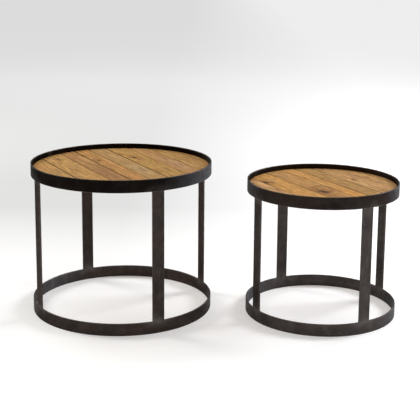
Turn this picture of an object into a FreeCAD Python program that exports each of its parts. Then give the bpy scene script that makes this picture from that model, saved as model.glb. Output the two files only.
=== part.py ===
"""A pair of round nesting tables.

Each table is a drum of flat steel bar: a top ring on edge, a closed floor ring on
edge, and four upright bars butt-welded between them. Two flat bars cross inside the
top ring and carry a top of old floorboards, screwed up from below. The top ring
stands proud of the boards as a tray lip. The large table is wide and tall enough to
be lifted over the small one and set down round it.

Frame: millimetres, +Z up, floor at z = 0. The origin is the middle of the pair's
footprint. The large table stands at -X and the small one at +X, a little forward.
"""
import FreeCAD, Part
import math
import os

Vector = FreeCAD.Vector

# ---- driving dimensions ----------------------------------------------------
large_diameter = 600.0      # over the outside of the rings
large_height = 500.0
small_diameter = 500.0
small_height = 450.0

rim_gap = 118.0             # between the two rims, measured along X
small_set_forward = 40.0    # how far the small table stands in front of the large one

bar_width = 40.0            # flat bar of the rings, legs and bearers
bar_thickness = 5.0
bar_edge_break = 0.5        # chamfer on the rings' exposed edges

board_thickness = 18.0
board_turn = 28.0           # boards run this far round from the front-to-back line
board_edge_break = 0.8      # chamfer round the top of each board
seam_gap = 1.0              # open joint between two boards
rim_clearance = 1.5         # between the boards' ends and the inside of the ring

# seams between boards, measured from the table's centre across the boards
large_seams = (-204.0, -118.0, -60.0, -3.0, 60.0, 135.0, 200.0)
small_seams = (-166.0, -83.0, -9.0, 41.0, 102.0, 178.0)

# where the legs stand, in degrees round from the front (-Y) towards +X
leg_places = ("front_right", "back_right", "back_left", "front_left")
large_leg_angles = (27.0, 116.5, 210.0, 300.0)
small_leg_angles = (28.0, 117.0, 207.5, 297.5)

large_bearer_inset = 185.0  # from the inside of the ring to a bearer's centre line
small_bearer_inset = 155.0
bearer_recess = 1.0         # the bearers' underside above the ring's lower edge
bearer_end_clearance = 0.2  # weld gap between a bearer's corners and the ring

screw_shank_radius = 1.95
screw_cover = 4.0           # wood left above the screw's tip
screw_tip_length = 3.0
screw_head_radius = 4.0
screw_head_height = 2.4
screw_head_round = 1.0
screw_slot_width = 1.0
screw_slot_length = 4.4
screw_slot_depth = 1.4
pilot_clearance = 0.05      # radial, shank to board
pilot_overrun = 1.0         # pilot hole beyond the screw's tip, within that cover
bearer_hole_clearance = 0.3 # radial, shank to bearer


# ---- where the two tables stand --------------------------------------------
def table_centres():
    """Centres of the large and small tables, with the pair's footprint centred on the origin."""
    large_radius = large_diameter / 2
    small_radius = small_diameter / 2
    length = large_diameter + rim_gap + small_diameter
    large_x = large_radius - length / 2
    small_x = length / 2 - small_radius
    front = min(-large_radius, -small_set_forward - small_radius)
    back = max(large_radius, small_radius - small_set_forward)
    middle = (front + back) / 2
    return Vector(large_x, -middle, 0), Vector(small_x, -small_set_forward - middle, 0)


# ---- one table, built about its own centre ---------------------------------
# In a table's own frame the boards run along Y and the bearers along X.

def edges_at_height(shape, height):
    """The edges of a shape that lie wholly at one height."""
    chosen = []
    for edge in shape.Edges:
        box = edge.BoundBox
        if abs(box.ZMin - height) < 1e-6 and abs(box.ZMax - height) < 1e-6:
            chosen.append(edge)
    return chosen


def ring(radius, base, broken_edge):
    """A closed ring of flat bar on edge, standing on base, with one exposed rim eased."""
    outer = Part.makeCylinder(radius, bar_width, Vector(0, 0, base))
    inner = Part.makeCylinder(radius - bar_thickness, bar_width, Vector(0, 0, base))
    band = outer.cut(inner)
    return band.makeChamfer(bar_edge_break, edges_at_height(band, broken_edge))


def leg(radius, height, angle):
    """An upright bar between the rings, its outer corners on the rings' outer face."""
    outer_plane = math.sqrt(radius ** 2 - (bar_width / 2) ** 2)
    length = height - 2 * bar_width
    corner = Vector(-bar_width / 2, -outer_plane, bar_width)
    bar = Part.makeBox(bar_width, bar_thickness, length, corner)
    bar.rotate(Vector(0, 0, 0), Vector(0, 0, 1), angle)
    return bar


def board(left, right, top, clip_radius):
    """One board from seam to seam, its ends cut to the round of the ring."""
    corner = Vector(left, -clip_radius, top - board_thickness)
    plank = Part.makeBox(right - left, 2 * clip_radius, board_thickness, corner)
    disc = Part.makeCylinder(clip_radius, board_thickness, Vector(0, 0, top - board_thickness))
    plank = plank.common(disc)
    return plank.makeChamfer(board_edge_break, edges_at_height(plank, top))


def board_edges(seams, clip_radius):
    """Left and right edges of each board; the outermost two end at the ring."""
    half_gap = seam_gap / 2
    lefts = [-clip_radius] + [seam + half_gap for seam in seams]
    rights = [seam - half_gap for seam in seams] + [clip_radius]
    return list(zip(lefts, rights))


def bearer_half_length(inner_radius, offset):
    """Half the length of a bearer whose outer corners stop just short of the ring."""
    outer_side = offset + bar_width / 2
    return math.sqrt((inner_radius - bearer_end_clearance) ** 2 - outer_side ** 2)


def screw_places(edges, half_length):
    """Across the boards: the middle of the stretch of bearer that lies under each board."""
    places = []
    for left, right in edges:
        places.append((max(left, -half_length) + min(right, half_length)) / 2)
    return places


def screw(x, y, seat):
    """A pan-head wood screw pointing up, its head's face on the bearer's underside."""
    bottom = seat - screw_head_height
    head = Part.makeCylinder(screw_head_radius, screw_head_height, Vector(x, y, bottom))
    head = head.makeFillet(screw_head_round, edges_at_height(head, bottom))
    straight = bar_thickness + board_thickness - screw_cover - screw_tip_length
    shank = Part.makeCylinder(screw_shank_radius, straight, Vector(x, y, seat))
    tip = Part.makeCone(screw_shank_radius, 0, screw_tip_length, Vector(x, y, seat + straight))
    body = head.fuse([shank, tip]).removeSplitter()
    slots = []
    for along_x, along_y in ((screw_slot_length, screw_slot_width), (screw_slot_width, screw_slot_length)):
        corner = Vector(x - along_x / 2, y - along_y / 2, bottom)
        slots.append(Part.makeBox(along_x, along_y, screw_slot_depth, corner))
    return body.cut(slots[0].fuse(slots[1]))


def table(diameter, height, leg_angles, seams, bearer_inset):
    """All the pieces of one table in its own frame, by name."""
    radius = diameter / 2
    inner_radius = radius - bar_thickness
    clip_radius = inner_radius - rim_clearance
    bearer_base = height - bar_width + bearer_recess
    board_base = bearer_base + bar_thickness
    board_top = board_base + board_thickness
    offset = inner_radius - bearer_inset
    half_length = bearer_half_length(inner_radius, offset)
    edges = board_edges(seams, clip_radius)
    across = screw_places(edges, half_length)

    pieces = {}
    pieces["top_ring"] = ring(radius, height - bar_width, height)
    pieces["floor_ring"] = ring(radius, 0, 0)
    for place, angle in zip(leg_places, leg_angles):
        pieces["leg_" + place] = leg(radius, height, angle - board_turn)

    bearer_rows = {"front": -offset, "back": offset}
    screws = []
    for row, along in bearer_rows.items():
        corner = Vector(-half_length, along - bar_width / 2, bearer_base)
        bearer = Part.makeBox(2 * half_length, bar_width, bar_thickness, corner)
        for x in across:
            hole_radius = screw_shank_radius + bearer_hole_clearance
            hole = Part.makeCylinder(hole_radius, bar_thickness, Vector(x, along, bearer_base))
            bearer = bearer.cut(hole)
            screws.append(screw(x, along, bearer_base))
        pieces["bearer_" + row] = bearer
    pieces["screws"] = Part.makeCompound(screws)

    pilot_radius = screw_shank_radius + pilot_clearance
    pilot_depth = board_thickness - screw_cover + pilot_overrun
    for number, (left, right) in enumerate(edges, start=1):
        plank = board(left, right, board_top, clip_radius)
        for along in bearer_rows.values():
            base = Vector(across[number - 1], along, board_base)
            plank = plank.cut(Part.makeCylinder(pilot_radius, pilot_depth, base))
        pieces["board_" + str(number)] = plank
    return pieces


def place_and_export(prefix, pieces, centre):
    """Turns a table so that its boards run the right way, stands it in its place and writes it."""
    for name, shape in pieces.items():
        shape.rotate(Vector(0, 0, 0), Vector(0, 0, 1), board_turn)
        shape.translate(centre)
        if not shape.isValid():
            raise ValueError(prefix + name + " is not a valid shape")
        shape.exportStep("parts/" + prefix + name + ".step")


def main():
    os.makedirs("parts", exist_ok=True)
    large_centre, small_centre = table_centres()
    large_table = table(large_diameter, large_height, large_leg_angles, large_seams, large_bearer_inset)
    small_table = table(small_diameter, small_height, small_leg_angles, small_seams, small_bearer_inset)
    place_and_export("large_", large_table, large_centre)
    place_and_export("small_", small_table, small_centre)
    print("large table at", large_centre, "with", len(large_table), "pieces")
    print("small table at", small_centre, "with", len(small_table), "pieces")


main()
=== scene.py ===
import math

import bpy
from mathutils import Matrix, Vector


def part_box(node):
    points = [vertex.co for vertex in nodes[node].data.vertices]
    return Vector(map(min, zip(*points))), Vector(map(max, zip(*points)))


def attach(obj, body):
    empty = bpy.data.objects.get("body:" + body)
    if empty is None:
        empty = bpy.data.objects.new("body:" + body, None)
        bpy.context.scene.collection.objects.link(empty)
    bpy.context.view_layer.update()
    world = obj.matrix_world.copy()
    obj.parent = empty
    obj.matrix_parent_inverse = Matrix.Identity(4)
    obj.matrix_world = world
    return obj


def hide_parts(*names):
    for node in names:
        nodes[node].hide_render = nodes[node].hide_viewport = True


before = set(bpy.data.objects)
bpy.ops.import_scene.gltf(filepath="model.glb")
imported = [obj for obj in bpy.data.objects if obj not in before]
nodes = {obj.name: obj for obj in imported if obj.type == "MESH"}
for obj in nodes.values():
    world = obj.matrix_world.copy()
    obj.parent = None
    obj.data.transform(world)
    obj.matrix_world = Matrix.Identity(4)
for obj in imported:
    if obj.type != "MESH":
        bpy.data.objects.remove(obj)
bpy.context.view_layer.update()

mm = 0.001
bpy.context.tool_settings.mesh_select_mode = (False, False, True)   # faces are picked
print("frame loaded,", len(nodes), "nodes")


def deselectAll():
    bpy.ops.object.select_all(action="DESELECT")


def nameActive(name):
    piece = bpy.context.object
    piece.name = name
    piece.data.name = name
    return piece


def placeMesh(piece, place=(0, 0, 0), turn=0.0):
    # moves and turns the piece, then leaves that in its mesh, with the object at the origin
    piece.location = place
    piece.rotation_euler.z = turn
    bpy.ops.object.transform_apply(location=True, rotation=True, scale=True)


def pickFaces(piece, wanted):
    # into edit mode with these faces selected and nothing else
    bpy.ops.object.mode_set(mode="EDIT")
    bpy.ops.mesh.select_all(action="DESELECT")
    bpy.ops.object.mode_set(mode="OBJECT")
    for face in piece.data.polygons:
        face.select = wanted(face)
    bpy.ops.object.mode_set(mode="EDIT")


def cutMesh(point, normal, **trim):
    # one straight cut through the whole mesh, in edit mode
    bpy.ops.mesh.select_all(action="SELECT")
    bpy.ops.mesh.bisect(plane_co=point, plane_no=normal, **trim)


def evenly(low, high, gap):
    # places between low and high, about that far apart, ends left out
    parts = max(1, round((high - low) / gap))
    return [low + (high - low) * part / parts for part in range(1, parts)]


def useModifier(piece, kind, **settings):
    modifier = piece.modifiers.new(kind.title(), kind)
    for key, value in settings.items():
        setattr(modifier, key, value)
    bpy.ops.object.modifier_apply(modifier=modifier.name)


def groupPoints(piece, name, wanted):
    group = piece.vertex_groups.new(name=name)
    group.add([vertex.index for vertex in piece.data.vertices if wanted(vertex.co)], 1.0, "REPLACE")


def paintPoints(piece, name, amount):
    # a number for each point, worked out from its place; the materials read it by name
    layer = piece.data.attributes.new(name, "FLOAT", "POINT")
    for vertex, item in zip(piece.data.vertices, layer.data):
        item.value = amount(vertex.co)


def fade(value, start, stop):
    # 0 at start, 1 at stop, even between
    return min(1.0, max(0.0, (value - start) / (stop - start)))


def clouds(name, sizeMm):
    texture = bpy.data.textures.new(name, "CLOUDS")
    texture.noise_scale = sizeMm * mm
    return texture


def finishPiece(piece, material, table, node):
    bpy.ops.object.shade_smooth_by_angle(angle=math.radians(35))
    piece.data.materials.append(material)
    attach(piece, table["body"])
    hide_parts(node)


def hexColour(text):
    # sRGB hex to linear
    channels = [int(text[i:i + 2], 16) / 255 for i in (1, 3, 5)]
    linear = [c / 12.92 if c <= 0.04045 else ((c + 0.055) / 1.055) ** 2.4 for c in channels]
    return (*linear, 1.0)


def addNode(tree, kind, inputs=None, **settings):
    # adds a node; an input is a value, a node whose first output is linked, or an output
    node = tree.nodes.new("ShaderNode" + kind)
    for key, value in settings.items():
        setattr(node, key, value)
    for key, value in (inputs or {}).items():
        if isinstance(key, str):
            socket = next(item for item in node.inputs if item.name == key and item.enabled)
        else:
            socket = node.inputs[key]
        if isinstance(value, bpy.types.Node):
            value = next(item for item in value.outputs if item.enabled)
        if isinstance(value, bpy.types.NodeSocket):
            tree.links.new(value, socket)
        else:
            socket.default_value = value
    return node


def newTree(owner):
    owner.use_nodes = True
    owner.node_tree.nodes.clear()
    return owner.node_tree


def perMm(size):
    # the scale that makes a noise's blotches about this many millimetres
    return 1000 / size


cameraSet = {
    "place": (-0.0218, -3.289, 1.194),
    "lens": 86.5,              # mm on a 36 mm sensor
    "tiltDown": 10.72,         # degrees below the level
    "lean": 0.47,              # degrees
    "shift": (0.0046, -0.1667),
}


def makeCamera():
    bpy.ops.object.camera_add(location=cameraSet["place"])
    camera = nameActive("camera")
    camera.data.lens = cameraSet["lens"]
    camera.data.shift_x, camera.data.shift_y = cameraSet["shift"]
    camera.data.clip_end = 200
    tilt = Matrix.Rotation(math.radians(90 - cameraSet["tiltDown"]), 3, "X")
    lean = Matrix.Rotation(math.radians(cameraSet["lean"]), 3, "Z")
    camera.rotation_euler = (tilt @ lean).to_euler()
    bpy.context.scene.camera = camera


stageSet = {
    "floorSize": 120,
    "white": "#f0efee",        # paper near the object
    "grey": "#b6b6b5",         # painted shade: the paper greys behind the object on the left
    "greyStarts": (-0.5, 1.3), # m behind the origin, where the grey comes in
    "greyEnds": (1.8, 6.0),    # and where it thins out again
    "greyLeft": 0.35,          # what stays of it
    "greySide": (1.4, -0.4),   # m along X, none to all
    "glowNear": 0.41,          # of plain white, added to what the camera sees of the paper
    "glowFar": 0.68,           # the same where the lamps don't reach
    "glowTurn": (0.8, 5.0),    # m behind the origin, from one to the other
    "front": "#4a494b",        # the room on the camera's side
    "back": "#f2f5fa",         # the lit side
    "litFrom": (0.45, 0.85, 0.25),
    "turnOver": (-0.6, 0.5),   # from one to the other, along that direction
    "ambient": 0.5,
    "shown": "#f3f4f4",
}

lampSet = [
    {"name": "softboxLeft", "place": (-3.6, 1.8, 2.8), "size": (1.7, 1.7),
     "power": 120, "colour": "#fffdf8"},
    {"name": "softboxRight", "place": (3.6, 1.6, 2.6), "size": (1.6, 1.6),
     "power": 170, "colour": "#f8faff"},
    {"name": "softboxTop", "place": (0.1, -0.3, 3.0), "size": (2.4, 1.8),
     "power": 20, "colour": "#fffcf7"},
]


def studioPaper():
    # white seamless paper: dull, keeps the shadow, and reads as white to the camera, with painted shade
    # greying it behind on the left
    material = bpy.data.materials.new("studioPaper")
    tree = newTree(material)
    place = addNode(tree, "SeparateXYZ", {"Vector": addNode(tree, "TexCoord").outputs["Object"]})
    near, far = stageSet["greyStarts"]
    starts = addNode(tree, "MapRange", {"Value": place.outputs["Y"], "From Min": near, "From Max": far})
    near, far = stageSet["greyEnds"]
    ends = addNode(tree, "MapRange", {
        "Value": place.outputs["Y"], "From Min": near, "From Max": far,
        "To Min": 1, "To Max": stageSet["greyLeft"]})
    none, whole = stageSet["greySide"]
    side = addNode(tree, "MapRange", {"Value": place.outputs["X"], "From Min": none, "From Max": whole})
    depth = addNode(tree, "Math", {0: starts, 1: ends}, operation="MULTIPLY")
    grey = addNode(tree, "Math", {0: depth, 1: side}, operation="MULTIPLY")
    colour = addNode(tree, "Mix", {
        "Factor": grey, "A": hexColour(stageSet["white"]), "B": hexColour(stageSet["grey"])},
        data_type="RGBA")
    dull = addNode(tree, "BsdfDiffuse", {"Color": colour})
    path = addNode(tree, "LightPath")
    seen = addNode(tree, "Math", {0: path.outputs["Is Camera Ray"], 1: path.outputs["Is Glossy Ray"]},
                   operation="MAXIMUM")
    seen = addNode(tree, "Math", {0: seen, 1: path.outputs["Is Transmission Ray"]}, operation="MAXIMUM")
    near, far = stageSet["glowTurn"]
    glow = addNode(tree, "MapRange", {
        "Value": place.outputs["Y"], "From Min": near, "From Max": far,
        "To Min": stageSet["glowNear"], "To Max": stageSet["glowFar"]})
    lift = addNode(tree, "Math", {0: seen, 1: glow}, operation="MULTIPLY")
    plain = addNode(tree, "Emission", {"Color": colour, "Strength": lift})
    paper = addNode(tree, "AddShader", {0: dull, 1: plain})
    addNode(tree, "OutputMaterial", {"Surface": paper})
    return material


def makeWorld():
    world = bpy.data.worlds.new("studio")
    bpy.context.scene.world = world
    tree = newTree(world)
    direction = addNode(tree, "TexCoord").outputs["Generated"]
    towards = addNode(tree, "VectorMath", {0: direction, 1: stageSet["litFrom"]}, operation="DOT_PRODUCT")
    dark, lit = stageSet["turnOver"]
    side = addNode(tree, "MapRange", {"Value": towards, "From Min": dark, "From Max": lit})
    colour = addNode(tree, "Mix", {
        "Factor": side, "A": hexColour(stageSet["front"]), "B": hexColour(stageSet["back"])},
        data_type="RGBA")
    ambient = addNode(tree, "Background", {"Color": colour, "Strength": stageSet["ambient"]})
    shown = addNode(tree, "Background", {"Color": hexColour(stageSet["shown"]), "Strength": 1.0})
    path = addNode(tree, "LightPath")
    mixed = addNode(tree, "MixShader", {0: path.outputs["Is Camera Ray"], 1: ambient, 2: shown})
    addNode(tree, "OutputWorld", {"Surface": mixed})


def makeStage():
    deselectAll()
    bpy.ops.mesh.primitive_plane_add(size=stageSet["floorSize"])
    floor = nameActive("studioFloor")
    floor.data.materials.append(studioPaper())
    makeWorld()
    for lamp in lampSet:
        bpy.ops.object.light_add(type="AREA", location=lamp["place"])
        light = nameActive(lamp["name"])
        light.data.shape = "RECTANGLE"
        light.data.size, light.data.size_y = lamp["size"]
        light.data.energy = lamp["power"]
        light.data.color = hexColour(lamp["colour"])[:3]
        aim = Vector((0, 0, 0.3)) - light.location
        light.rotation_euler = aim.to_track_quat("-Z", "Y").to_euler()


makeCamera()
makeStage()
bpy.context.scene.view_settings.view_transform = "Standard"
print("camera, floor and lamps made")


boardTurn = math.radians(28)   # the boards of both tables run this far off the Y axis


def tableFrom(size):
    # sizes and places of one table, read from its frame nodes
    low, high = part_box(size + "_top_ring")
    barLow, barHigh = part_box(size + "_bearer_front")
    boards = sorted(name for name in nodes if name.startswith(size + "_board_"))
    boardLow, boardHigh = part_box(boards[0])
    centre = Vector(((low.x + high.x) / 2, (low.y + high.y) / 2, 0))
    back = Matrix.Rotation(-boardTurn, 4, "Z") @ Matrix.Translation(-centre)
    return {
        "name": size,
        "body": size + "_table",
        "centre": centre,
        "back": back,              # from the floor's frame to the table's own, boards along Y
        "radius": (high.x - low.x) / 2,
        "bar": high.z - low.z,
        "thick": barHigh.z - barLow.z,
        "boards": boards,
        "boardLow": boardLow.z,
        "boardHigh": boardHigh.z,
        "boardRadius": max((back @ vertex.co).xy.length for vertex in nodes[boards[0]].data.vertices),
    }


tables = [tableFrom("large"), tableFrom("small")]


steelSet = {
    # copies of one steel, darker or paler as painted shade and painted light
    "tones": {
        "dark": ("#151211", "#1c1714", "#2b2826"),
        "dusk": ("#292422", "#322a26", "#413d3a"),
        "mid": ("#38322f", "#403632", "#524d49"),
        "pale": ("#3f3b39", "#494240", "#5a5755"),
    },
    "bare": "#8d827b",         # worn arrises, and the rim's top face as a painted glint
    "ground": "#625d59",       # round the ground welds
    "rubbed": "#75757a",       # painted sheen: paler and bluer where the rings' ends catch the light
    "edgeOn": "#bcbcbc",       # what a dull oxide gives back at a slant, where bare metal gives all
    "cloud": 95,               # mm
    "blotch": 26,              # mm
    "scale": 4.5,              # mm, mill scale; drawn coarser than its real 1 mm so that it shows
    "rollGap": 2.2,            # mm between rolling marks, drawn coarser than real
    "rollRun": 180,            # mm, length of one
    "grindGap": 1.8,           # mm between grinding scratches
    "grindRun": 26,            # mm
}


def blackenedSteel(name, tone, alongTurn, along):
    # hot-rolled flat bar, blackened and waxed: nearly black, warm and cloudy, satin, with faint marks
    # along the bar, greyer where the welds were ground, pale on the worn arrises and, as a painted glint,
    # on the rim's top face, with a painted bluish sheen where the rings' ends catch the light
    material = bpy.data.materials.new(name)
    tree = newTree(material)
    black, brown, grey = (hexColour(text) for text in steelSet["tones"][tone])
    place = addNode(tree, "TexCoord").outputs["Object"]
    cloud = addNode(tree, "TexNoise", {"Vector": place, "Scale": perMm(steelSet["cloud"]), "Detail": 2})
    blotch = addNode(tree, "TexNoise", {
        "Vector": place, "Scale": perMm(steelSet["blotch"]), "Detail": 4, "Roughness": 0.6,
        "Distortion": 0.4})
    scale = addNode(tree, "TexNoise", {
        "Vector": place, "Scale": perMm(steelSet["scale"]), "Detail": 3, "Roughness": 0.65})
    turned = addNode(tree, "Mapping", {"Vector": place, "Rotation": (0, 0, alongTurn)})
    squeeze = steelSet["rollGap"] / steelSet["rollRun"]
    stretched = addNode(tree, "Mapping", {
        "Vector": turned, "Scale": tuple(squeeze if axis in along else 1 for axis in "XYZ")})
    rolled = addNode(tree, "TexNoise", {
        "Vector": stretched, "Scale": perMm(steelSet["rollGap"]), "Detail": 2})

    warmth = addNode(tree, "MapRange", {"Value": cloud, "From Min": 0.38, "From Max": 0.6})
    skin = addNode(tree, "Mix", {"Factor": warmth, "A": black, "B": brown}, data_type="RGBA")
    thin = addNode(tree, "MapRange", {"Value": blotch, "From Min": 0.46, "From Max": 0.72, "To Max": 0.3})
    skin = addNode(tree, "Mix", {"Factor": thin, "A": skin, "B": grey}, data_type="RGBA")
    flecks = addNode(tree, "MapRange", {
        "Value": scale, "From Min": 0.3, "From Max": 0.7, "To Min": 0.85, "To Max": 1.17})
    streaks = addNode(tree, "MapRange", {
        "Value": rolled, "From Min": 0.3, "From Max": 0.7, "To Min": 0.84, "To Max": 1.16})
    shade = addNode(tree, "Math", {0: flecks, 1: streaks}, operation="MULTIPLY")
    skin = addNode(tree, "VectorMath", {0: skin, "Scale": shade}, operation="SCALE")

    weld = addNode(tree, "Attribute", attribute_name="weld").outputs["Fac"]
    patch = addNode(tree, "MapRange", {"Value": blotch, "From Min": 0.35, "From Max": 0.6, "To Min": 0.25})
    weldPatch = addNode(tree, "Math", {0: weld, 1: patch}, operation="MULTIPLY")
    skin = addNode(tree, "Mix", {"Factor": weldPatch, "A": skin, "B": hexColour(steelSet["ground"])},
                   data_type="RGBA")
    # the worn arrises are real wear; the rim's top face is paled as a painted glint
    worn = addNode(tree, "Attribute", attribute_name="worn").outputs["Fac"]
    keeps = addNode(tree, "MapRange", {
        "Value": scale, "From Min": 0.36, "From Max": 0.62, "To Min": 0.1, "To Max": 0.8})
    chippedAndGlint = addNode(tree, "Math", {0: worn, 1: keeps}, operation="MULTIPLY")
    skin = addNode(tree, "Mix", {"Factor": chippedAndGlint, "A": skin, "B": hexColour(steelSet["bare"])},
                   data_type="RGBA")

    # painted sheen: a bluish grey mixed into the colour where the rings' ends catch the light
    rubbed = addNode(tree, "Attribute", attribute_name="rubbed").outputs["Fac"]
    sheenMask = addNode(tree, "MapRange", {
        "Value": blotch, "From Min": 0.3, "From Max": 0.65, "To Min": 0.55, "To Max": 0.85})
    sheenMask = addNode(tree, "Math", {0: rubbed, 1: sheenMask}, operation="MULTIPLY")
    skin = addNode(tree, "Mix", {"Factor": sheenMask, "A": skin, "B": hexColour(steelSet["rubbed"])},
                   data_type="RGBA")

    gloss = addNode(tree, "MapRange", {
        "Value": blotch, "From Min": 0.3, "From Max": 0.7, "To Min": 0.52, "To Max": 0.38})
    mottle = addNode(tree, "MapRange", {
        "Value": scale, "From Min": 0.3, "From Max": 0.7, "To Min": -0.05, "To Max": 0.07})
    gloss = addNode(tree, "Math", {0: gloss, 1: mottle}, operation="ADD")

    squeeze = steelSet["grindGap"] / steelSet["grindRun"]
    slanted = addNode(tree, "Mapping", {
        "Vector": place, "Rotation": (0.5, 0.3, 0), "Scale": (squeeze, squeeze, 1)})
    scratches = addNode(tree, "TexNoise", {
        "Vector": slanted, "Scale": perMm(steelSet["grindGap"]), "Detail": 2})
    scratches = addNode(tree, "Math", {0: scratches, 1: weld}, operation="MULTIPLY")
    height = addNode(tree, "Math", {0: scale, 1: rolled}, operation="ADD")
    height = addNode(tree, "Math", {0: height, 1: scratches}, operation="ADD")
    relief = addNode(tree, "Bump", {"Height": height, "Strength": 0.3, "Distance": 0.2 * mm})
    shader = addNode(tree, "BsdfPrincipled", {
        "Base Color": skin, "Metallic": 1.0, "Roughness": gloss, "Normal": relief,
        "Specular Tint": hexColour(steelSet["edgeOn"])})
    addNode(tree, "OutputMaterial", {"Surface": shader})
    return material


# one blackened steel in darker and paler copies, painted shade and painted light for each part: darkest on
# the large rim and the bearers, palest on the small floor ring and legs
ringSteel = {
    "large_top_ring": blackenedSteel("blackenedLargeRim", "dark", 0, "XY"),
    "large_floor_ring": blackenedSteel("blackenedLargeFoot", "mid", 0, "XY"),
    "small_top_ring": blackenedSteel("blackenedSmallRim", "dusk", 0, "XY"),
    "small_floor_ring": blackenedSteel("blackenedSmallFoot", "pale", 0, "XY"),
}
legSteel = {
    "large": blackenedSteel("blackenedLargeLeg", "mid", 0, "Z"),
    "small": blackenedSteel("blackenedSmallLeg", "pale", 0, "Z"),
}
bearerSteel = blackenedSteel("blackenedBearer", "dark", -boardTurn, "X")


ringSet = {
    "sides": 288,
    "rows": (1.5, 11, 20, 29, 38.5),   # mm above the lower edge
    "wobble": 0.5 * mm,            # rolled by hand, so never quite round
    "wobbleSize": 110,             # mm
    "edgeRound": 0.6 * mm,
    "arrisBand": 0.65 * mm,        # the rounded edge itself, where the black has worn off
    "flat": 0.02 * mm,             # as near the top face as this counts as on it
    "closing": math.radians(152),  # where the bar's two ends are welded together
    "closingHalf": 10 * mm,
    "wornTop": 0.35,               # of the face that shows all round the rim, part wear, part painted glint
    "wornFront": 0.9,              # painted highlight: more glint along the front of the rim's top face
    "polished": {                  # painted sheen patches: degrees round from +X, half width, amount
        "large_top_ring": ((-24, 18, 0.95), (10, 12, 0.35)),
        "large_floor_ring": ((160, 30, 0.45), (190, 14, 0.4), (-12, 10, 0.3)),
        "small_top_ring": ((-20, 16, 0.4), (196, 10, 0.3)),
        "small_floor_ring": ((160, 26, 0.7), (-16, 24, 0.7)),
    },
}

weldSet = {
    "along": 26 * mm,          # how far the grinding went
    "up": 14 * mm,
    "topShare": 0.25,          # the top welds were blackened again, the floor ones less
    "floorShare": 0.7,
}


def legTurns(table):
    turns = {}
    for node in sorted(nodes):
        if node.startswith(table["name"] + "_leg_"):
            low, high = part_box(node)
            outward = (low + high) / 2 - table["centre"]
            turns[node] = math.atan2(outward.y, outward.x)
    return turns


def makeRing(table, part):
    # flat bar rolled into a hoop: one open wall, made 5 mm thick inwards
    node = table["name"] + "_" + part
    low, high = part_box(node)
    radius = table["radius"]
    deselectAll()
    bpy.ops.mesh.primitive_cylinder_add(
        vertices=ringSet["sides"], radius=radius, depth=high.z - low.z,
        end_fill_type="NOTHING", location=(0, 0, (low.z + high.z) / 2))
    ring = nameActive(table["name"] + part.title().replace("_", ""))
    placeMesh(ring, ring.location)
    bpy.ops.object.mode_set(mode="EDIT")
    for row in ringSet["rows"]:
        cutMesh((0, 0, low.z + row * mm), (0, 0, 1))
    bpy.ops.object.mode_set(mode="OBJECT")
    useModifier(ring, "DISPLACE", texture=clouds(node + "Wobble", ringSet["wobbleSize"]),
                mid_level=1.0, strength=ringSet["wobble"])
    useModifier(ring, "SOLIDIFY", thickness=table["thick"], offset=-1)
    for vertex in ring.data.vertices:
        vertex.co.z = min(max(vertex.co.z, low.z), high.z)
    useModifier(ring, "BEVEL", width=ringSet["edgeRound"], segments=3, limit_method="ANGLE",
                angle_limit=math.radians(60))

    turns = legTurns(table).values()
    jointHeight = low.z if part == "top_ring" else high.z

    # real wear on the rounded arrises; painted glint on the top face, most at the front
    def worn(point):
        fromEdge = min(point.z - low.z, high.z - point.z)
        if high.z - point.z < ringSet["flat"]:
            return ringSet["wornTop"] + ringSet["wornFront"] * max(0.0, -point.y / radius)
        return 1.0 if fromEdge < ringSet["arrisBand"] else 0.0

    def welded(point):
        turn = math.atan2(point.y, point.x)
        amount = math.exp(-(math.remainder(turn - ringSet["closing"], math.tau) * radius
                            / ringSet["closingHalf"]) ** 2)
        for leg in turns:
            aside = max(0.0, abs(math.remainder(turn - leg, math.tau)) * radius - table["bar"] / 2)
            away = (aside / weldSet["along"]) ** 2 + ((point.z - jointHeight) / weldSet["up"]) ** 2
            amount = max(amount, math.exp(-away))
        return amount

    def rubbed(point):
        # painted sheen, strongest in the middle of each listed patch
        turn = math.atan2(point.y, point.x)
        amounts = [most * math.exp(-(math.remainder(turn - math.radians(middle), math.tau)
                                     / math.radians(half)) ** 2)
                   for middle, half, most in ringSet["polished"][node]]
        return max(amounts)

    paintPoints(ring, "worn", worn)
    paintPoints(ring, "rubbed", rubbed)
    ground = weldSet["topShare"] if part == "top_ring" else weldSet["floorShare"]
    paintPoints(ring, "weld", lambda point: ground * welded(point))
    placeMesh(ring, table["centre"])
    finishPiece(ring, ringSteel[node], table, node)


legSet = {
    "rowGap": 18 * mm,
    "fillet": 3.5 * mm,        # the ground weld runs out into the ring in a small hollow curve
    "filletSpread": 0.8,       # its width for its height
    "edgeRound": 0.6 * mm,
    "intoRing": 0.7 * mm,      # fills the ring's rounded edge, as the weld does
    "arrisBand": 0.65 * mm,
    "wear": 0.4,               # of the arrises
    "wearBand": 1.5 * mm,      # it stops this far in
}


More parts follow.
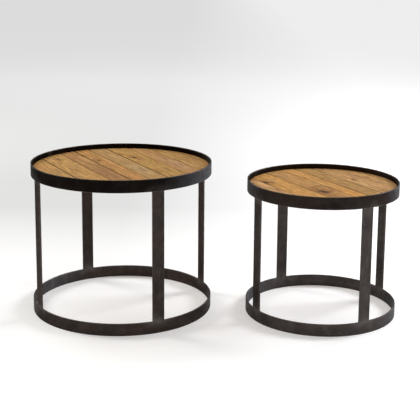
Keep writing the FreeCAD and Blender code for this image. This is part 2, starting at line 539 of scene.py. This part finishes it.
def modelLeg(table, node):
    # an upright about the origin, its ends run out into the rings' corners
    low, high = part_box(node)
    half = (high.z - low.z) / 2 + legSet["intoRing"]
    side = table["bar"] / 2
    fillet = legSet["fillet"]
    deselectAll()
    bpy.ops.mesh.primitive_cube_add(size=1, scale=(table["thick"], table["bar"], 2 * half))
    leg = nameActive("legModel")
    placeMesh(leg)
    bpy.ops.object.mode_set(mode="EDIT")
    for height in evenly(-half, half, legSet["rowGap"]):
        cutMesh((0, 0, height), (0, 0, 1))
    for step in (0.3, 0.5, 0.75, 1.0):
        cutMesh((0, 0, half - step * fillet), (0, 0, 1))
        cutMesh((0, 0, step * fillet - half), (0, 0, 1))
    bpy.ops.object.mode_set(mode="OBJECT")
    for vertex in leg.data.vertices:
        fromEnd = max(0.0, half - abs(vertex.co.z))
        if fromEnd < fillet and abs(vertex.co.y) > side / 2:
            drop = fillet - fromEnd
            spread = legSet["filletSpread"] * (fillet - math.sqrt(fillet ** 2 - drop ** 2))
            vertex.co.y += math.copysign(spread, vertex.co.y)
    bpy.ops.object.mode_set(mode="EDIT")
    for y in (legSet["wearBand"] - side, 0, side - legSet["wearBand"]):
        cutMesh((0, y, 0), (0, 1, 0))
    bpy.ops.object.mode_set(mode="OBJECT")
    useModifier(leg, "BEVEL", width=legSet["edgeRound"], segments=3, limit_method="ANGLE",
                angle_limit=math.radians(60))

    def worn(point):
        inside = max(side - abs(point.y), table["thick"] / 2 - abs(point.x))
        return legSet["wear"] if inside < legSet["arrisBand"] else 0.0

    def welded(point):
        ground = weldSet["topShare"] if point.z > 0 else weldSet["floorShare"]
        return ground * math.exp(-((half - abs(point.z)) / weldSet["up"]) ** 2)

    paintPoints(leg, "worn", worn)
    paintPoints(leg, "weld", welded)
    return leg


def makeLegs(table):
    # one leg is modelled, and each of the four is a copy with its own mesh
    turns = legTurns(table)
    model = modelLeg(table, min(turns))
    for node, turn in turns.items():
        low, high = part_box(node)
        deselectAll()
        model.select_set(True)
        bpy.context.view_layer.objects.active = model
        bpy.ops.object.duplicate()
        leg = nameActive(table["name"] + node.split(table["name"])[1].title().replace("_", ""))
        placeMesh(leg, (low + high) / 2, turn)
        finishPiece(leg, legSteel[table["name"]], table, node)
    bpy.data.objects.remove(model)


for table in tables:
    makeRing(table, "top_ring")
    makeRing(table, "floor_ring")
    makeLegs(table)
    print(table["name"], "rings and legs made")


woodSet = {
    "ringGap": 5.0,            # mm between growth rings
    "streak": 9.0,             # mm across a streak of colour
    "fibre": 1.8,              # mm across a fibre, drawn coarser than real so that it shows
    "pore": 0.5,               # mm across a pore line
    "knotSwirl": 24.0,         # mm, unevenness of a knot's outline
    "knotPush": 9.0,           # mm that the grain is pushed aside round a knot
    "patch": 60.0,             # mm across a weathered patch
    "blot": 14.0,              # mm across a blot, where oil and old wax soaked in unevenly
    "check": 4.5,              # mm across the strip that a drying crack runs in
    "pale": "#cf9f61",
    "late": "#7d4f22",         # late wood, the darker part of each ring
    "weathered": "#8f6f48",
    "crack": "#38210f",
    "knot": "#3f2410",
    "halo": "#7c4f27",
    # dirt and painted shade along the seams and against the ring
    "grime": "#3d2612",
}

# tone; pith, mm across from the board's middle and mm below its face; tilt of the grain, degrees;
# knots and patches, mm across and along from the table's centre; then radius and darkness, or
# half sizes and colour
boardLooks = {
    "large": (
        {"tone": "#b58a49", "pith": (30, 45), "tilt": 16,
         "patches": ((-252, 95, 16, 40, "#c58c50"), (-190, 110, 14, 45, "#a39044"))},
        {"tone": "#b78c4c", "pith": (-12, 30), "tilt": 22,
         "knots": ((-158, 178, 6, 0.7), (-163, -5, 6, 0.4))},
        {"tone": "#a27644", "pith": (18, 70), "tilt": -14, "patches": ((-90, -110, 24, 90, "#916640"),)},
        {"tone": "#b17f40", "pith": (-20, 38), "tilt": 24, "knots": ((-38, 104, 6, 0.8),),
         "patches": ((-34, -175, 16, 50, "#c88c4e"), (-30, 215, 20, 50, "#b98548"))},
        {"tone": "#a98652", "pith": (5, 26), "tilt": -20, "knots": ((23, 20, 6, 0.55),),
         "patches": ((30, -60, 20, 70, "#a88e66"),)},
        {"tone": "#ac843f", "pith": (-26, 55), "tilt": 18, "knots": ((88, 93, 9, 1.0),)},
        {"tone": "#aa7d4b", "pith": (10, 32), "tilt": -25, "knots": ((195, -2, 6, 0.3),),
         "patches": ((170, -50, 20, 80, "#a88866"),)},
        {"tone": "#a77e44", "pith": (-35, 60), "tilt": 15},
    ),
    "small": (
        {"tone": "#bd9060", "pith": (25, 50), "tilt": -18},
        {"tone": "#c48f47", "pith": (-10, 34), "tilt": 20, "knots": ((-155, 102, 10, 1.0),),
         "patches": ((-128, 120, 14, 24, "#c9a06a"),)},
        {"tone": "#b4864c", "pith": (14, 28), "tilt": -24, "knots": ((-56, -80, 16, 1.0),)},
        {"tone": "#c08c48", "pith": (-22, 62), "tilt": 15,
         "patches": ((10, -150, 20, 70, "#c98c42"),)},
        {"tone": "#9f7a44", "pith": (8, 30), "tilt": 22, "knots": ((48, 76, 6, 0.35),)},
        {"tone": "#b08756", "pith": (-15, 40), "tilt": -17,
         "knots": ((134, 12, 7, 0.5), (110, 156, 6, 0.25)),
         "patches": ((140, -80, 34, 80, "#c49763"),)},
        {"tone": "#ba8f5b", "pith": (20, 48), "tilt": 19, "knots": ((193, 20, 6, 0.5),)},
    ),
}


def spotMask(tree, place, ragged, x, y, across, along, most=1.0):
    # a soft ragged oval, 0 outside it
    offset = addNode(tree, "VectorMath", {0: place, 1: (x * mm, y * mm, 0)}, operation="SUBTRACT")
    scaled = addNode(tree, "VectorMath", {0: offset, 1: (perMm(across), perMm(along), 0)},
                     operation="MULTIPLY")
    away = addNode(tree, "VectorMath", {0: scaled}, operation="LENGTH")
    wavy = addNode(tree, "MapRange", {
        "Value": ragged, "From Min": 0.3, "From Max": 0.7, "To Min": -0.3, "To Max": 0.3})
    away = addNode(tree, "Math", {0: away, 1: wavy}, operation="ADD")
    return addNode(tree, "MapRange", {
        "Value": away, "From Min": 0.3, "From Max": 1.0, "To Min": most, "To Max": 0})


def oldPine(table, number, look, middle):
    # reclaimed pine floorboard, sanded and oiled: honey brown, dull, with darker late wood, long
    # streaks, weathered patches, drying cracks, knots, and dirt with painted shade along its edges and
    # against the ring
    material = bpy.data.materials.new(table["name"] + "OldPine" + str(number))
    tree = newTree(material)
    tone = hexColour(look["tone"])
    place = addNode(tree, "Mapping", {
        "Vector": addNode(tree, "TexCoord").outputs["Object"],
        "Location": table["back"].translation, "Rotation": table["back"].to_euler()})
    # each board is cut from another part of the tree
    own = addNode(tree, "VectorMath", {0: place, 1: (number * 0.37, number * 1.9, table["radius"])},
                  operation="ADD")
    longer = addNode(tree, "Mapping", {"Vector": own, "Scale": (1, 0.05, 1)})
    streak = addNode(tree, "TexNoise", {
        "Vector": longer, "Scale": perMm(woodSet["streak"]), "Detail": 4, "Roughness": 0.6})
    fibre = addNode(tree, "TexNoise", {
        "Vector": longer, "Scale": perMm(woodSet["fibre"]), "Detail": 3, "Roughness": 0.6})
    check = addNode(tree, "TexNoise", {"Vector": longer, "Scale": perMm(woodSet["check"]), "Detail": 1})
    shorter = addNode(tree, "Mapping", {"Vector": own, "Scale": (1, 0.4, 1)})
    patch = addNode(tree, "TexNoise", {"Vector": shorter, "Scale": perMm(woodSet["patch"]), "Detail": 3})
    blot = addNode(tree, "TexNoise", {
        "Vector": shorter, "Scale": perMm(woodSet["blot"]), "Detail": 4, "Roughness": 0.6})
    pore = addNode(tree, "TexNoise", {"Vector": longer, "Scale": perMm(woodSet["pore"]), "Detail": 1})
    swirl = addNode(tree, "TexNoise", {"Vector": own, "Scale": perMm(woodSet["knotSwirl"]), "Detail": 0})

    halo = core = None
    for x, y, radius, darkness in look.get("knots", ()):
        around = spotMask(tree, place, swirl, x, y, radius * 3.2, radius * 6.5, most=darkness)
        inside = spotMask(tree, place, swirl, x, y, radius * 1.1, radius * 1.9, most=darkness)
        halo = addNode(tree, "Math", {0: halo, 1: around}, operation="MAXIMUM") if halo else around
        core = addNode(tree, "Math", {0: core, 1: inside}, operation="MAXIMUM") if core else inside
    pithAcross, pithDepth = look["pith"]
    fromPith = addNode(tree, "VectorMath", {
        0: place, 1: (-middle - pithAcross * mm, 0, pithDepth * mm - table["boardHigh"])}, operation="ADD")
    if halo:
        # grain bends round the knots, so the pith is pushed down under them
        lift = addNode(tree, "MapRange", {"Value": halo, "To Max": woodSet["knotPush"] * mm},
                       interpolation_type="SMOOTHSTEP")
        push = addNode(tree, "CombineXYZ", {"Z": lift})
        fromPith = addNode(tree, "VectorMath", {0: fromPith, 1: push}, operation="ADD")
    tilted = addNode(tree, "Mapping", {
        "Vector": fromPith, "Scale": (1, 0.1, 1), "Rotation": (math.radians(look["tilt"]), 0, 0)})
    rings = addNode(tree, "TexWave", {
        "Vector": tilted, "Scale": math.tau / 20 * perMm(woodSet["ringGap"]), "Distortion": 5.0,
        "Detail": 2.0, "Detail Scale": 0.25}, wave_type="RINGS", rings_direction="Y")

    light = addNode(tree, "MapRange", {"Value": streak, "From Min": 0.4, "From Max": 0.7, "To Max": 0.7})
    wood = addNode(tree, "Mix", {"Factor": light, "A": tone, "B": hexColour(woodSet["pale"])},
                   data_type="RGBA")
    for x, y, across, along, text in look.get("patches", ()):
        spot = spotMask(tree, place, patch, x, y, across * 1.6, along * 1.6, most=0.6)
        wood = addNode(tree, "Mix", {"Factor": spot, "A": wood, "B": hexColour(text)}, data_type="RGBA")
    late = addNode(tree, "MapRange", {"Value": rings, "From Min": 0.5, "From Max": 1.0, "To Max": 0.45})
    wood = addNode(tree, "Mix", {"Factor": late, "A": wood, "B": hexColour(woodSet["late"])},
                   data_type="RGBA")
    grey = addNode(tree, "MapRange", {"Value": patch, "From Min": 0.52, "From Max": 0.75, "To Max": 0.4})
    wood = addNode(tree, "Mix", {"Factor": grey, "A": wood, "B": hexColour(woodSet["weathered"])},
                   data_type="RGBA")
    dark = addNode(tree, "MapRange", {"Value": streak, "From Min": 0.48, "From Max": 0.28, "To Max": 0.6})
    wood = addNode(tree, "Mix", {"Factor": dark, "A": wood, "B": hexColour(woodSet["weathered"])},
                   data_type="RGBA")
    shade = addNode(tree, "MapRange", {
        "Value": fibre, "From Min": 0.25, "From Max": 0.75, "To Min": 0.74, "To Max": 1.2})
    wood = addNode(tree, "VectorMath", {0: wood, "Scale": shade}, operation="SCALE")
    soaked = addNode(tree, "MapRange", {
        "Value": blot, "From Min": 0.36, "From Max": 0.66, "To Min": 0.84, "To Max": 1.16})
    wood = addNode(tree, "VectorMath", {0: wood, "Scale": soaked}, operation="SCALE")
    pores = addNode(tree, "MapRange", {
        "Value": pore, "From Min": 0.3, "From Max": 0.55, "To Min": 0.72, "To Max": 1.04})
    wood = addNode(tree, "VectorMath", {0: wood, "Scale": pores}, operation="SCALE")
    crack = addNode(tree, "MapRange", {"Value": check, "From Min": 0.7, "From Max": 0.76, "To Max": 0.85})
    wood = addNode(tree, "Mix", {"Factor": crack, "A": wood, "B": hexColour(woodSet["crack"])},
                   data_type="RGBA")
    if halo:
        ringed = addNode(tree, "Math", {0: halo, 1: 0.6}, operation="MULTIPLY")
        wood = addNode(tree, "Mix", {"Factor": ringed, "A": wood, "B": hexColour(woodSet["halo"])},
                       data_type="RGBA")
        wood = addNode(tree, "Mix", {"Factor": core, "A": wood, "B": hexColour(woodSet["knot"])},
                       data_type="RGBA")
    # dirt with painted shade: darker along the seams and in the corner against the ring
    dirt = addNode(tree, "Attribute", attribute_name="dirt").outputs["Fac"]
    patchy = addNode(tree, "MapRange", {
        "Value": streak, "From Min": 0.3, "From Max": 0.65, "To Min": 1.0, "To Max": 0.6})
    dirtAndShadeMask = addNode(tree, "Math", {0: dirt, 1: patchy}, operation="MULTIPLY")
    wood = addNode(tree, "Mix", {"Factor": dirtAndShadeMask, "A": wood, "B": hexColour(woodSet["grime"])},
                   data_type="RGBA")

    ridges = addNode(tree, "Math", {0: rings, 1: 0.5}, operation="MULTIPLY")
    height = addNode(tree, "Math", {0: fibre, 1: ridges}, operation="ADD")
    height = addNode(tree, "Math", {0: height, 1: crack}, operation="SUBTRACT")
    height = addNode(tree, "Math", {0: height, 1: pores}, operation="ADD")
    relief = addNode(tree, "Bump", {"Height": height, "Strength": 0.5, "Distance": 0.4 * mm})
    gloss = addNode(tree, "MapRange", {
        "Value": streak, "From Min": 0.3, "From Max": 0.7, "To Min": 0.78, "To Max": 0.62})
    shader = addNode(tree, "BsdfPrincipled", {
        "Base Color": wood, "Roughness": gloss, "Specular IOR Level": 0.15, "Normal": relief})
    addNode(tree, "OutputMaterial", {"Surface": shader})
    return material


boardSet = {
    "sides": 300,              # of the disc that the boards are cut from
    "cutGap": 10 * mm,         # mesh along and across
    "shortest": 1.2 * mm,      # points nearer than this are merged, so the cuts leave no slivers
    "edgeRound": 0.7 * mm,     # arrises rubbed down by sanding
    "seamWear": 0.5 * mm,      # most that a worn long edge has lost
    "seamTight": 0.6,          # the wear at which a seam keeps its full gap; less worn ones are tighter
    "tongue": (5 * mm, 10 * mm),   # above the board's underside, reaching to the next board
    "tongueGap": 0.1 * mm,
    "faceWear": 0.7 * mm,      # hollows of the face and sides
    "faceSize": 70,            # mm across a hollow
    "arrisWear": 1.1 * mm,     # nicks in the arrises
    "arrisSize": 16,
    "dirtBand": 4 * mm,        # dirt and painted shade along a seam
    "endBand": 5 * mm,         # and against the ring
    "seams": {                 # wear of each seam, from the left; it also sets how dark the seam's dirt and painted shade are
        "large": (0.9, 0.35, 1.0, 0.3, 1.0, 0.3, 0.1),
        "small": (0.15, 0.35, 0.3, 0.6, 0.3, 0.15),
    },
}


def boardEdges(table, number):
    # places of a board's long edges across the table, with what has worn away
    seams = (0, *boardSet["seams"][table["name"]], 0)
    node = table["boards"][number - 1]
    places = [(table["back"] @ vertex.co).x for vertex in nodes[node].data.vertices]
    leftLoss, rightLoss = ((seam - boardSet["seamTight"]) * boardSet["seamWear"] if seam else 0
                           for seam in seams[number - 1:number + 1])
    return min(places) + leftLoss, max(places) - rightLoss, seams[number - 1], seams[number]


def growTongue(board, edge, base, length):
    # the long tongue on a floorboard's right side, which closes the seam to light
    low, high = boardSet["tongue"]
    pickFaces(board, lambda face: (abs(face.center.x - edge) < 0.01 * mm
                                   and low < face.center.z - base < high))
    bpy.ops.mesh.extrude_region_move(TRANSFORM_OT_translate={"value": (length, 0, 0)})
    bpy.ops.object.mode_set(mode="OBJECT")


def makeBoard(table, node, number, look):
    # a slice of a disc, cut along its two seams
    low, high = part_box(node)
    left, right, leftSeam, rightSeam = boardEdges(table, number)
    radius = table["boardRadius"]
    deselectAll()
    bpy.ops.mesh.primitive_cylinder_add(
        vertices=boardSet["sides"], radius=radius, depth=high.z - low.z,
        location=(0, 0, (low.z + high.z) / 2))
    board = nameActive(table["name"] + "Board" + str(number))
    placeMesh(board, board.location)
    pickFaces(board, lambda face: abs(face.normal.z) > 0.5)
    bpy.ops.mesh.inset(thickness=boardSet["endBand"])
    if leftSeam:
        cutMesh((left, 0, 0), (1, 0, 0), clear_inner=True, use_fill=True)
    if rightSeam:
        cutMesh((right, 0, 0), (1, 0, 0), clear_outer=True, use_fill=True)
    band = boardSet["dirtBand"]
    for x in (left + band, right - band, *evenly(left + band, right - band, boardSet["cutGap"])):
        cutMesh((x, 0, 0), (1, 0, 0))
    for height in boardSet["tongue"]:
        cutMesh((0, 0, low.z + height), (0, 0, 1))
    nearest = 0.0 if left < 0 < right else min(abs(left), abs(right))
    reach = math.sqrt(radius ** 2 - nearest ** 2)
    for y in evenly(-reach, reach, boardSet["cutGap"]):
        cutMesh((0, y, 0), (0, 1, 0))
    bpy.ops.mesh.select_all(action="SELECT")
    bpy.ops.mesh.remove_doubles(threshold=boardSet["shortest"])
    bpy.ops.object.mode_set(mode="OBJECT")
    useModifier(board, "BEVEL", width=boardSet["edgeRound"], segments=3, limit_method="ANGLE",
                angle_limit=math.radians(50))
    if rightSeam:
        nextLeft = boardEdges(table, number + 1)[0]
        growTongue(board, right, low.z, nextLeft - right - boardSet["tongueGap"])

    def seamGap(point):
        return min(point.x - left if leftSeam else radius, right - point.x if rightSeam else radius)

    tongueTop = low.z + boardSet["tongue"][1]
    groupPoints(board, "faces", lambda point: point.z > tongueTop + mm)
    groupPoints(board, "arris", lambda point: point.z > high.z - 2 * mm and seamGap(point) < 2 * mm)

    # dirt and painted shade: darker near each seam, darker still against the ring
    def dirt(point):
        seam = max((leftSeam, point.x - left), (rightSeam, right - point.x), key=lambda side: -side[1])
        ofSeam = (0.1 + 0.7 * seam[0]) * (1 - fade(seam[1], boardSet["edgeRound"], band))
        atRing = 1 - fade(radius - point.xy.length, 0, boardSet["endBand"])
        return max(ofSeam, 0.8 * atRing)

    paintPoints(board, "dirt", dirt)
    placeMesh(board, table["centre"], boardTurn)
    useModifier(board, "DISPLACE", texture=clouds(node + "Face", boardSet["faceSize"]),
                mid_level=1.0, strength=boardSet["faceWear"], vertex_group="faces")
    useModifier(board, "DISPLACE", texture=clouds(node + "Arris", boardSet["arrisSize"]),
                mid_level=0.9, strength=boardSet["arrisWear"], vertex_group="arris")
    finishPiece(board, oldPine(table, number, look, (left + right) / 2), table, node)


for table in tables:
    for number, node in enumerate(table["boards"], start=1):
        makeBoard(table, node, number, boardLooks[table["name"]][number - 1])
    print(table["name"], "boards made")


zincSet = {
    "bright": "#b9b6ab",
    "yellowed": "#9d9478",
    "bloom": 6,                # mm
    "grain": 0.8,              # mm
}


def zincPlate():
    # bright zinc on steel screws: pale grey, slightly yellowed in patches, with a fine dull grain
    material = bpy.data.materials.new("zincPlate")
    tree = newTree(material)
    place = addNode(tree, "TexCoord").outputs["Object"]
    bloom = addNode(tree, "TexNoise", {"Vector": place, "Scale": perMm(zincSet["bloom"]), "Detail": 3})
    grain = addNode(tree, "TexNoise", {"Vector": place, "Scale": perMm(zincSet["grain"]), "Detail": 2})
    aged = addNode(tree, "MapRange", {"Value": bloom, "From Min": 0.35, "From Max": 0.65})
    colour = addNode(tree, "Mix", {
        "Factor": aged, "A": hexColour(zincSet["bright"]), "B": hexColour(zincSet["yellowed"])},
        data_type="RGBA")
    gloss = addNode(tree, "MapRange", {
        "Value": grain, "From Min": 0.3, "From Max": 0.7, "To Min": 0.28, "To Max": 0.46})
    relief = addNode(tree, "Bump", {"Height": grain, "Strength": 0.2, "Distance": 0.1 * mm})
    shader = addNode(tree, "BsdfPrincipled", {
        "Base Color": colour, "Metallic": 1.0, "Roughness": gloss, "Normal": relief})
    addNode(tree, "OutputMaterial", {"Surface": shader})
    return material


# bearers and screws keep their frame shapes
zinc = zincPlate()
for name, node in nodes.items():
    if name.endswith("_screws") or "_bearer_" in name:
        node.data.materials.clear()
        node.data.materials.append(zinc if name.endswith("_screws") else bearerSteel)
print("bearers and screws finished")
